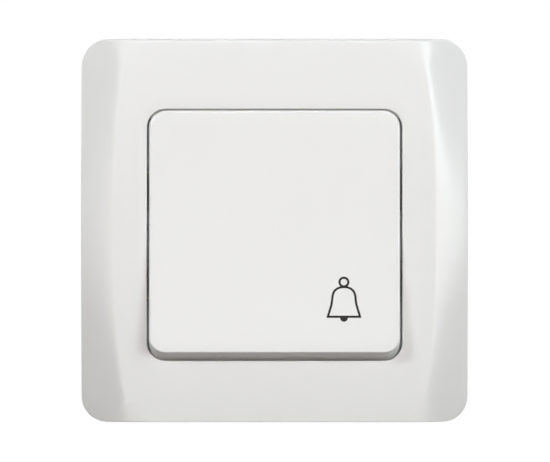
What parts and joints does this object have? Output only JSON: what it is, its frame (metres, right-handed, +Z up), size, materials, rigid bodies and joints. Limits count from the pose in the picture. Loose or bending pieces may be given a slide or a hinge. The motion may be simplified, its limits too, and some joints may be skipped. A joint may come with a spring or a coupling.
{
  "type": "doorbell button",
  "caption": "Flush-mounted doorbell button: square white cover frame with bowed side wings round a large hollow-faced rocker that is pressed at its lower edge and springs back.",
  "frame": {"origin": "centre of the wall-box screw pattern on the wall plane, behind the middle of the rocker's opening", "axes": "+Z up, +X to the right as seen from the room, +Y into the wall, so the front looks along -Y"},
  "size_m": [0.084, 0.0344, 0.083],
  "materials": {
    "frame_abs": "moulded white, satin gloss",
    "rocker_abs": "moulded white, satin gloss",
    "white_polyamide": "moulded, matt",
    "grey_polyamide": "moulded, matt",
    "zinc_steel": "pressed and zinc plated",
    "zinc_screw": "zinc plated",
    "spring_steel": "bright drawn wire",
    "brass": "machined, satin",
    "silver_tips": "bright"
  },
  "bodies": {
    "insert": {"cover_frame": "frame_abs", "mounting_strap": "zinc_steel", "bearing_plate": "white_polyamide", "base_housing": "grey_polyamide", "assembly_screws": "zinc_screw", "return_spring": "spring_steel", "fixed_contact_left": "brass", "fixed_contact_right": "brass", "fixed_tips": "silver_tips", "terminal_left": "brass", "terminal_right": "brass", "terminal_screws": "zinc_screw"},
    "rocker": {"rocker_cap": "rocker_abs", "rocker_lever": "white_polyamide"},
    "plunger": {"contact_plunger": "white_polyamide", "contact_bridge": "brass", "bridge_tips": "silver_tips", "contact_spring": "spring_steel"},
    "left_claw": {"claw_left": "zinc_steel"},
    "right_claw": {"claw_right": "zinc_steel"},
    "left_screw": {"claw_screw_left": "zinc_screw"},
    "right_screw": {"claw_screw_right": "zinc_screw"}
  },
  "joints": [
    {"name": "rocker_press", "type": "hinge", "parent": "insert", "child": "rocker", "pos_m": [0, 0.0015, 0], "axis": [1, 0, 0], "range_deg": [0, 5.5], "stiffness_Nm_per_rad": 0.3, "springref_deg": -5.73, "deforming": ["return_spring"]},
    {"name": "plunger_slide", "type": "slide", "parent": "insert", "child": "plunger", "axis": [0, 1, 0], "range_m": [0, 0.00125]},
    {"name": "left_claw_swing", "type": "hinge", "parent": "insert", "child": "left_claw", "pos_m": [-0.02475, 0.00095, 0], "axis": [0, 0, 1], "range_deg": [0, 14]},
    {"name": "left_screw_travel", "type": "slide", "parent": "insert", "child": "left_screw", "axis": [0, 1, 0], "range_m": [0, 0.00074]},
    {"name": "right_claw_swing", "type": "hinge", "parent": "insert", "child": "right_claw", "pos_m": [0.02475, 0.00095, 0], "axis": [0, 0, -1], "range_deg": [0, 14]},
    {"name": "right_screw_travel", "type": "slide", "parent": "insert", "child": "right_screw", "axis": [0, 1, 0], "range_m": [0, 0.00074]}
  ],
  "couplings": [
    {"joint": "plunger_slide", "follows": "rocker_press", "m_per_rad": 0.01295},
    {"joint": "left_screw_travel", "follows": "left_claw_swing", "m_per_rad": 0.003},
    {"joint": "right_screw_travel", "follows": "right_claw_swing", "m_per_rad": 0.003}
  ]
}
